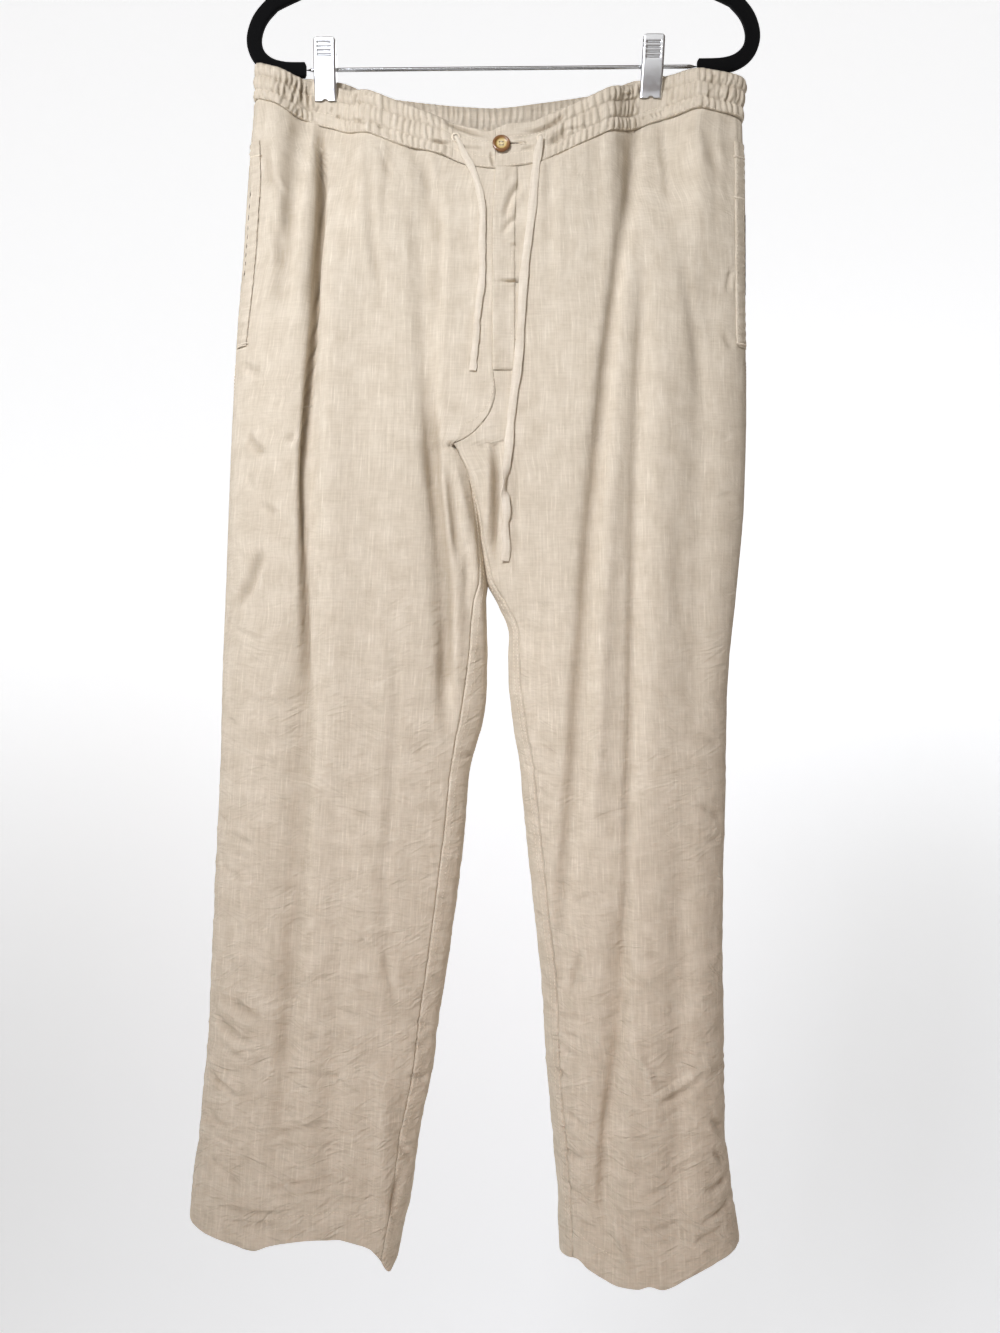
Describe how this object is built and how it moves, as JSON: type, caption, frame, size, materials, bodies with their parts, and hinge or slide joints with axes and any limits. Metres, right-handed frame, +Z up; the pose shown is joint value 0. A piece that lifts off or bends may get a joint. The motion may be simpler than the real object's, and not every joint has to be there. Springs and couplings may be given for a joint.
{
  "type": "linen drawstring trousers on a clip hanger",
  "caption": "Straight-leg linen trousers with a gathered waistband, button, drawstring and side pockets, clipped to the bar of a slim flocked hanger with a wire hook.",
  "frame": {"origin": "inside of the hook's crown, where the hanger rests on a rail", "axes": "+Z up along the hanging line, the front of the trousers faces -Y, the wearer's left leg lies towards +X"},
  "size_m": [0.4943, 0.0819, 1.2648],
  "materials": {
    "linen": "plain-weave slubby linen, washed, oatmeal beige",
    "drawstring": "folded and stitched linen tape",
    "button": "polished horn-like resin, brown rim and honey centre",
    "flock": "matt black flocking",
    "chrome": "bright plated steel"
  },
  "bodies": {
    "root": {"front_right": "linen", "front_left": "linen", "back_right": "linen", "back_left": "linen", "hem_front_right": "linen", "hem_front_left": "linen", "hem_back_right": "linen", "hem_back_left": "linen", "waistband_front_right": "linen", "waistband_front_left": "linen", "waistband_tab_right": "linen", "waistband_tab_left": "linen", "waistband_back": "linen", "fly_placket": "linen", "pocket_edge_right": "linen", "pocket_edge_left": "linen", "eyelet_right": "linen", "eyelet_left": "linen", "drawstring_right": "drawstring", "drawstring_left": "drawstring", "button": "button", "hanger_frame": "flock", "hanger_bar": "chrome", "hanger_hook": "chrome", "clip_right_front": "chrome", "clip_right_back": "chrome", "clip_left_front": "chrome", "clip_left_back": "chrome"}
  },
  "joints": []
}
